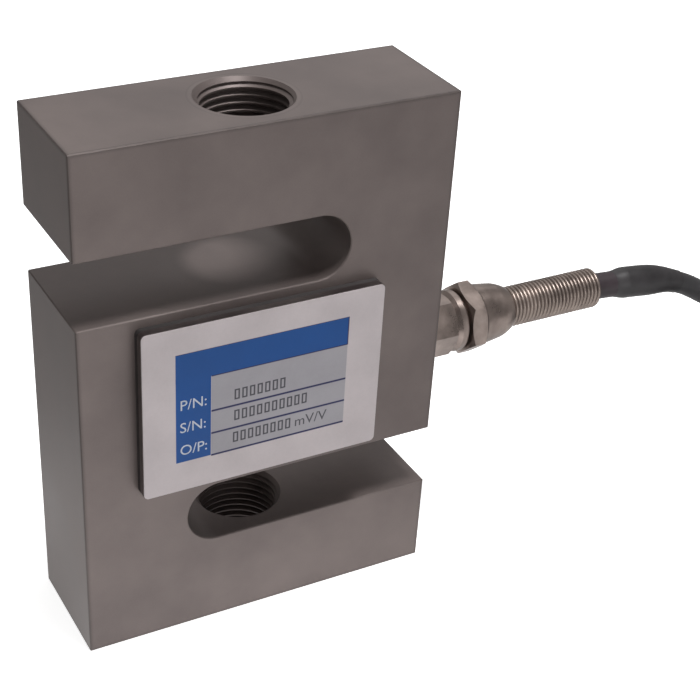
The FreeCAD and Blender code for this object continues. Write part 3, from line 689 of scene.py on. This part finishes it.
def shrunk_sleeve_tree():
    """A heat-shrunk tube between two lengths along a curve, flared in and tapered out."""
    tree, gin, gout = geometry_tree("shrunk_sleeve", [
        ("Start", FLOAT, 0.0), ("End", FLOAT, 0.02), ("Front Radius", FLOAT, 0.003),
        ("Body Radius", FLOAT, 0.0035), ("Rear Radius", FLOAT, 0.0026), ("Flare", FLOAT, 0.003),
        ("Taper", FLOAT, 0.008), ("Rings", "NodeSocketInt", 60), ("Sides", "NodeSocketInt", 48),
        ("Material", "NodeSocketMaterial", None),
    ])
    link = tree.links.new
    trim = tree.nodes.new("GeometryNodeTrimCurve")
    trim.mode = "LENGTH"
    link(gin.outputs["Geometry"], trim.inputs["Curve"])
    start_length, end_length = trim.inputs[4], trim.inputs[5]     # the pair before is shares
    link(gin.outputs["Start"], start_length)
    link(gin.outputs["End"], end_length)
    even = tree.nodes.new("GeometryNodeResampleCurve")
    link(trim.outputs["Curve"], even.inputs["Curve"])
    link(gin.outputs["Rings"], even.inputs["Count"])
    along = tree.nodes.new("GeometryNodeSplineParameter")
    length = math_node(tree, "SUBTRACT", gin.outputs["End"], gin.outputs["Start"])
    taper_from = math_node(tree, "SUBTRACT", length, gin.outputs["Taper"])
    slopes = []
    for low, high, first, last in (
        (None, gin.outputs["Flare"], "Front Radius", "Body Radius"),
        (taper_from, length, "Body Radius", "Rear Radius"),
    ):
        slope = tree.nodes.new("ShaderNodeMapRange")
        slope.interpolation_type = "SMOOTHSTEP"
        link(along.outputs["Length"], slope.inputs["Value"])
        if low is None:
            slope.inputs["From Min"].default_value = 0.0
        else:
            link(low, slope.inputs["From Min"])
        link(high, slope.inputs["From Max"])
        link(gin.outputs[first], slope.inputs["To Min"])
        link(gin.outputs[last], slope.inputs["To Max"])
        slopes.append(slope.outputs["Result"])
    radius = math_node(tree, "MINIMUM", slopes[0], slopes[1])
    ring = set_in(tree.nodes.new("GeometryNodeCurvePrimitiveCircle"), {"Radius": 1.0})
    link(gin.outputs["Sides"], ring.inputs["Resolution"])
    sweep = tree.nodes.new("GeometryNodeCurveToMesh")
    sweep.inputs["Fill Caps"].default_value = True
    link(even.outputs["Curve"], sweep.inputs["Curve"])
    link(ring.outputs["Curve"], sweep.inputs["Profile Curve"])
    link(radius, sweep.inputs["Scale"])
    return finish_tree(tree, gin, gout, sweep.outputs["Mesh"])


def run_tree(tree, name, values, data=None):
    """Runs a geometry tree, its inputs set by their sockets' identifiers, and bakes it."""
    host = bpy.data.objects.new(name, data or bpy.data.meshes.new(name))
    bpy.context.scene.collection.objects.link(host)
    made = host.modifiers.new(name, "NODES")
    made.node_group = tree
    for item in tree.interface.items_tree:
        if item.in_out == "INPUT" and item.name in values:
            made[item.identifier] = values[item.name]
    return baked(host)


def outward(obj):
    """Joins loose corners and turns every face's normal outwards."""
    work = bmesh.new()
    work.from_mesh(obj.data)
    bmesh.ops.remove_doubles(work, verts=work.verts, dist=1e-7)
    bmesh.ops.recalc_face_normals(work, faces=work.faces)
    work.to_mesh(obj.data)
    work.free()
    return obj


# ---------------------------------------------------------------- block with its real threads
SPRING_TREE = wound_spring_tree()
CUTTER_TREE = thread_cutter_tree()
block_low, block_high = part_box("s_block")


def thread_cutter(start_z, length):
    """The ridge for one loading thread, from a height up, round the load axis."""
    pitch = THREAD_PITCH * MM
    root = THREAD_MAJOR_D / 2 * MM
    inner = root - CUTTER_DEPTH * MM
    cutter = run_tree(CUTTER_TREE, "thread_cutter", {
        "Root Radius": root, "Inner Radius": inner, "Pitch": pitch, "Turns": length / pitch,
        "Steps": THREAD_STEPS, "Ridge Base": RIDGE_BASE * pitch, "Ridge Top": RIDGE_TOP * pitch,
    })
    cutter.data.transform(Matrix.Translation((0, 0, start_z)))
    return outward(cutter)


def threaded_block():
    """The block with its two loading threads cut into the plain bores."""
    block = merged_copy("s_block", "block_body")
    arm = ARM_H * MM
    spare = THREAD_SPARE * MM
    cutters = []
    for start in (block_low[2] - spare, block_high[2] - arm - spare + THREAD_LEAD * MM):
        cutter = thread_cutter(start, arm + 2 * spare)
        cut = block.modifiers.new("thread", "BOOLEAN")
        cut.operation = "DIFFERENCE"
        cut.solver = "EXACT"
        cut.object = cutter
        cutters.append(cutter)
    block = baked(block)
    for cutter in cutters:
        bpy.data.objects.remove(cutter)
    smooth_by_angle(block, 28)
    return keep(block, "block_body", block_metal, "nickel_steel", "s_block")


threaded_block()


# ---------------------------------------------------------------- the label's captions
CAPTIONS = [
    # name, words, left, baseline, letter height, millimetres
    ("caption_part", "P/N:", -19.6, 54.8, 2.3),
    ("caption_serial", "S/N:", -19.6, 49.8, 2.3),
    ("caption_output", "O/P:", -19.6, 44.7, 2.3),
    ("caption_unit", "mV/V", 4.6, 44.8, 2.3),
]
LETTER_SHARE = 0.73        # a capital's height over the font's size
INK_HEIGHT = 0.03          # the print stands this proud of the label


def caption(name, words, left, baseline, height, material):
    """Printed words as thin closed letters on the label's face."""
    data = bpy.data.curves.new(name, "FONT")
    data.body = words
    data.size = height / LETTER_SHARE * MM
    data.extrude = INK_HEIGHT / 2 * MM
    data.resolution_u = 4
    text = bpy.data.objects.new(name, data)
    bpy.context.scene.collection.objects.link(text)
    label_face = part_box("front_label")[0][1]
    place = Matrix.Translation((left * MM, label_face, baseline * MM))
    text.matrix_world = place @ Matrix.Rotation(math.pi / 2, 4, "X")
    bpy.context.view_layer.update()
    return keep(outward(baked(text)), name, material, "label_print")


for name, words, left, baseline, height in CAPTIONS:
    caption(name, words, left, baseline, height, ink_white if left < PANEL_LEFT else ink_dark)


# ---------------------------------------------------------------- gland spring
def guard_spring():
    """The close-wound spring, wound in place of the CAD's ribbed sleeve."""
    low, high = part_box("guard_spring")
    wire_r = SPRING_WIRE_D / 2 * MM
    length = high[0] - low[0] - 2 * wire_r
    spring = run_tree(SPRING_TREE, "guard_spring_wire", {
        "Coil Radius": (SPRING_D - SPRING_WIRE_D) / 2 * MM, "Turns": SPRING_TURNS - 1,
        "Length": length, "Wire Radius": wire_r, "Steps": SPRING_STEPS, "Sides": SPRING_SIDES,
    })
    turn = Matrix.Rotation(math.pi / 2, 4, "Y")
    spring.data.transform(Matrix.Translation((low[0] + wire_r, 0, GLAND_Z * MM)) @ turn)
    outward(spring)
    for face in spring.data.polygons:
        face.use_smooth = True
    return keep(spring, "guard_spring_wire", spring_metal, "spring_steel", "guard_spring")


guard_spring()


# ---------------------------------------------------------------- cable
def fold(x, way, radius, z_of, start):
    """Control points round one fold, clockwise seen from above. way 1 is the far fold."""
    points = []
    reach = radius / math.cos(math.pi / 2 / FOLD_CORNERS)
    for k in range(FOLD_CORNERS):
        a = math.pi * (k + 0.5) / FOLD_CORNERS
        points.append((
            x + way * reach * math.sin(a),
            HANK_Y + way * reach * math.cos(a),
            z_of(start + radius * a),
        ))
    return points


def run(x_from, x_to, y_from, y_to, z_of, start):
    """Control points along one run."""
    points = []
    for k in range(RUN_POINTS):
        share = (k + 0.5) / RUN_POINTS
        x = x_from + (x_to - x_from) * share
        y = y_from + (y_to - y_from) * share
        points.append((x, y, z_of(start + HANK_RUN * share)))
    return points


def hank_points():
    """Five outer turns going down, then the inner turns going up to where the tail leaves."""
    near, far = HANK_X, HANK_X + HANK_RUN
    outer, inner = HANK_COLUMN_R
    points = []
    top = ROUTE[-1][2]
    turn = 2 * HANK_RUN + 2 * math.pi * outer
    for k in range(OUTER_TURNS):
        def z_of(s, k=k):
            return top - CABLE_D * (k + s / turn)
        if k == 0:
            for share in FIRST_RUN_AT:
                along = HANK_RUN * share
                points.append((near + along, HANK_Y + outer, z_of(along)))
        else:
            points += run(near, far, HANK_Y + outer, HANK_Y + outer, z_of, 0.0)
        points += fold(far, 1, outer, z_of, HANK_RUN)
        points += run(far, near, HANK_Y - outer, HANK_Y - outer, z_of, HANK_RUN + math.pi * outer)
        points += fold(near, -1, outer, z_of, 2 * HANK_RUN + math.pi * outer)
    turn = 2 * HANK_RUN + 2 * math.pi * inner
    climb = (TAIL[0][2] - HANK_LOW_Z) / INNER_TURNS
    for k in range(math.ceil(INNER_TURNS)):
        def z_of(s, k=k):
            return HANK_LOW_Z + climb * (k + s / turn)
        y_from = HANK_Y + (outer if k == 0 else inner)
        points += run(near, far, y_from, HANK_Y + inner, z_of, 0.0)
        points += fold(far, 1, inner, z_of, HANK_RUN)
        if k + 1 < INNER_TURNS:
            points += run(far, near, HANK_Y - inner, HANK_Y - inner, z_of, HANK_RUN + math.pi * inner)
            points += fold(near, -1, inner, z_of, 2 * HANK_RUN + math.pi * inner)
    return points


def cable_curve():
    """The whole cable as one open spline: its route, the hank and the tail."""
    points = ROUTE + hank_points() + TAIL
    data = bpy.data.curves.new("cable_jacket", "CURVE")
    data.dimensions = "3D"
    data.resolution_u = 6
    data.bevel_depth = CABLE_D / 2 * MM
    data.bevel_resolution = 6
    data.use_fill_caps = True
    spline = data.splines.new("NURBS")
    spline.points.add(len(points) - 1)
    for point, place in zip(spline.points, points):
        point.co = tuple(v * MM for v in place) + (1.0,)
    spline.order_u = 3
    spline.use_endpoint_u = True
    cable = bpy.data.objects.new("cable_jacket", data)
    bpy.context.scene.collection.objects.link(cable)
    data.materials.append(jacket_rubber)
    return cable


cable = cable_curve()
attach(cable, "root")
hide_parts("cable", "cable_hank", "cable_tail")


# ---------------------------------------------------------------- heat-shrunk sleeves
SLEEVE_TREE = shrunk_sleeve_tree()
SLEEVES = [
    # piece, start and end past the spring, front, body and rear radius, flare, taper, millimetres
    ("sleeve_inner", 0.0, 24.6, 2.9, 2.9, 2.56, 1.0, 9.0),
    ("sleeve_outer", 5.0, 24.6, 2.92, 3.5, 2.64, 3.6, 10.0),
]


def shrunk_sleeve(node, start, end, front, body, rear, flare, taper, material):
    """One sleeve shrunk onto the cable, in place of the CAD's plain tube."""
    path = cable.data.copy()
    path.bevel_depth = 0.0
    path.use_fill_caps = False
    path.materials.clear()
    sleeve = run_tree(SLEEVE_TREE, node + "_shrunk", {
        "Start": start * MM, "End": end * MM, "Front Radius": front * MM,
        "Body Radius": body * MM, "Rear Radius": rear * MM, "Flare": flare * MM,
        "Taper": taper * MM, "Rings": 60, "Sides": 48,
    }, path)
    outward(sleeve)
    smooth_by_angle(sleeve, 40)
    return keep(sleeve, node + "_shrunk", material, "sleeve_shrink", node)


for node, *sizes in SLEEVES:
    shrunk_sleeve(node, *sizes, inner_shrink if node == "sleeve_inner" else outer_shrink)


# ---------------------------------------------------------------- finishes of the CAD pieces
CAD_FINISHES = {
    "front_gasket": gasket_rubber, "front_cover": cover_metal, "front_label": label_print,
    "rear_seal_disc": disc_metal, "gauge_front_left": gauge_foil,
    "gauge_front_right": gauge_foil, "gauge_rear_left": gauge_foil,
    "gauge_rear_right": gauge_foil, "front_gauge_sealant": sealant_silicone,
    "rear_gauge_sealant": sealant_silicone, "bridge_board": board_green,
    "solder_terminals": solder_tin, "trim_resistors": resistor_black,
    "front_gauge_leads": enamel_copper, "rear_gauge_leads": enamel_copper,
    "gland_washer": washer_nylon, "gland_body": gland_metal, "gland_bush": bush_rubber,
    "gland_slip_washer": washer_nylon, "gland_nut": gland_metal, "cable_root": jacket_rubber,
    "end_boot": outer_shrink,
    "hank_tie_front": tie_plastic, "hank_tie_rear": tie_plastic, "lead_tips": tinned_strand,
}
for colour, finish in core_finishes.items():
    CAD_FINISHES["lead_" + colour] = finish
    if colour != "shield":
        CAD_FINISHES["wire_" + colour] = finish
for node, finish in CAD_FINISHES.items():
    dress(frame["nodes"][node], finish)


# ---------------------------------------------------------------- floor, light and camera
FLOOR_SIZE = 3.0           # from the middle to an edge
FLOOR_LIFT = 0.84          # what the floor glows by where the camera sees it
POOL_CENTRE = (-0.035, -0.035, 0.0)
POOL_NEAR, POOL_FAR = 0.01, 0.135
POOL_LIFT = 0.92           # the glow near the block that only the metal mirrors
DIM_X, FULL_X, DIM = -0.12, -0.045, 0.55     # painted shade: the floor's left side is darker where the metal mirrors it


def floor():
    """The pale floor, with a glow for the camera and another for what mirrors it, and painted shade on
    its left side that only the metal mirrors.
    """
    mesh = bpy.data.meshes.new("floor")
    size = FLOOR_SIZE
    corners = [(-size, -size, 0), (size, -size, 0), (size, size, 0), (-size, size, 0)]
    mesh.from_pydata(corners, [], [(0, 1, 2, 3)])
    plane = bpy.data.objects.new("floor", mesh)
    bpy.context.scene.collection.objects.link(plane)
    mat, tree, shader = new_material("pale_floor")
    grain = use_group(tree, MOTTLE, {
        "Dark": (0.80, 0.80, 0.80, 1), "Light": (0.83, 0.83, 0.83, 1), "Cloud Scale": 3.0,
        "Grain Scale": 400.0, "Grain Amount": 0.2, "Rough Low": 0.7, "Rough High": 0.8,
        "Stretch": (1, 1, 1),
    })
    tree.links.new(grain.outputs["Roughness"], shader.inputs["Roughness"])
    shader.inputs["Specular IOR Level"].default_value = 0.1
    seen, mirrored = mirrored_rays(tree)
    place, x, _, _ = place_parts(tree)
    # painted shade: for rays the metal mirrors, the floor's colour darkens towards its left side
    side = set_in(tree.nodes.new("ShaderNodeMapRange"), {
        "From Min": DIM_X, "From Max": FULL_X, "To Min": 1.0 - DIM, "To Max": 0.0,
    })
    tree.links.new(x, side.inputs["Value"])
    dimmed = math_node(tree, "MULTIPLY", mirrored, side.outputs["Result"])
    keep_share = math_node(tree, "SUBTRACT", 1.0, dimmed)
    shaded_colour = put(tree, "ShaderNodeVectorMath", operation="SCALE")
    tree.links.new(grain.outputs["Color"], shaded_colour.inputs[0])
    tree.links.new(keep_share, shaded_colour.inputs["Scale"])
    tree.links.new(shaded_colour.outputs[0], shader.inputs["Base Color"])
    away = put(tree, "ShaderNodeVectorMath", operation="DISTANCE")
    tree.links.new(place, away.inputs[0])
    away.inputs[1].default_value = POOL_CENTRE
    pool = set_in(tree.nodes.new("ShaderNodeMapRange"), {
        "From Min": POOL_NEAR, "From Max": POOL_FAR, "To Min": POOL_LIFT, "To Max": 0.0,
    })
    pool.interpolation_type = "SMOOTHSTEP"
    tree.links.new(away.outputs["Value"], pool.inputs["Value"])
    mirrored_share = math_node(tree, "MULTIPLY", mirrored, keep_share)
    in_metal = math_node(tree, "MULTIPLY", mirrored_share, pool.outputs["Result"])
    lift = math_node(tree, "MULTIPLY_ADD", seen.outputs["Is Camera Ray"], FLOOR_LIFT, in_metal)
    glow = tree.nodes.new("ShaderNodeEmission")
    glow.inputs["Color"].default_value = (1, 1, 1, 1)
    tree.links.new(lift, glow.inputs["Strength"])
    both = tree.nodes.new("ShaderNodeAddShader")
    out = next(n for n in tree.nodes if n.type == "OUTPUT_MATERIAL")
    tree.links.new(shader.outputs["BSDF"], both.inputs[0])
    tree.links.new(glow.outputs["Emission"], both.inputs[1])
    tree.links.new(both.outputs["Shader"], out.inputs["Surface"])
    mesh.materials.append(mat)


def area_lamp(name, place, aim, size, power):
    """A soft round lamp aimed at a point. Metres and watts."""
    data = bpy.data.lights.new(name, "AREA")
    data.shape = "DISK"
    data.size = size
    data.energy = power
    lamp = bpy.data.objects.new(name, data)
    way = Vector(aim) - Vector(place)
    lamp.matrix_world = Matrix.Translation(place) @ way.to_track_quat("-Z", "Y").to_matrix().to_4x4()
    bpy.context.scene.collection.objects.link(lamp)


def world_light(strength, to_camera, in_metal):
    """An even glow on the object; the camera and the metal see the brighter backdrop."""
    world = bpy.data.worlds.new("studio")
    bpy.context.scene.world = world
    world.use_nodes = True
    tree = world.node_tree
    back = next(n for n in tree.nodes if n.type == "BACKGROUND")
    back.inputs["Color"].default_value = (1.0, 0.985, 0.965, 1)
    seen, mirrored = mirrored_rays(tree)
    metal = math_node(tree, "MULTIPLY", mirrored, in_metal - strength)
    camera_part = math_node(tree, "MULTIPLY", seen.outputs["Is Camera Ray"], to_camera - strength)
    level = math_node(tree, "ADD", math_node(tree, "ADD", metal, camera_part), strength)
    tree.links.new(level, back.inputs["Strength"])


CAMERA_PLACE = (-114.19, -235.93, 213.62)    # millimetres
CAMERA_WAY = (0.40627, 0.72955, -0.55019)
CAMERA_ROLL = 2.88         # degrees
CAMERA_LENS, CAMERA_SENSOR = 79.5, 36.0
CAMERA_SHIFT = (0.0538, 0.0867)


def camera():
    """The view from the front and left, a little above the block."""
    data = bpy.data.cameras.new("camera")
    data.lens = CAMERA_LENS
    data.sensor_width = CAMERA_SENSOR
    data.shift_x, data.shift_y = CAMERA_SHIFT
    data.clip_start = 0.01
    cam = bpy.data.objects.new("camera", data)
    place = Vector(CAMERA_PLACE) * MM
    roll = Quaternion((0, 0, 1), math.radians(CAMERA_ROLL))
    turn = Vector(CAMERA_WAY).to_track_quat("-Z", "Y") @ roll
    cam.matrix_world = Matrix.Translation(place) @ turn.to_matrix().to_4x4()
    bpy.context.scene.collection.objects.link(cam)
    bpy.context.scene.camera = cam


floor()
world_light(strength=0.205, to_camera=1.05, in_metal=0.27)
area_lamp("overhead", (0.11, -0.11, 0.90), (0, 0, 0.09), 0.22, 5.0)
area_lamp("over_right", (0.42, -0.03, 0.85), (0.03, 0, 0.08), 0.25, 0.8)
area_lamp("front", (0.2, -1.1, 0.30), (0, 0, 0.05), 0.7, 2.5)
area_lamp("back", (0.55, 0.99, 0.85), (0, 0, 0.1), 1.0, 1.4)
camera()
bpy.context.scene.view_settings.view_transform = "Standard"
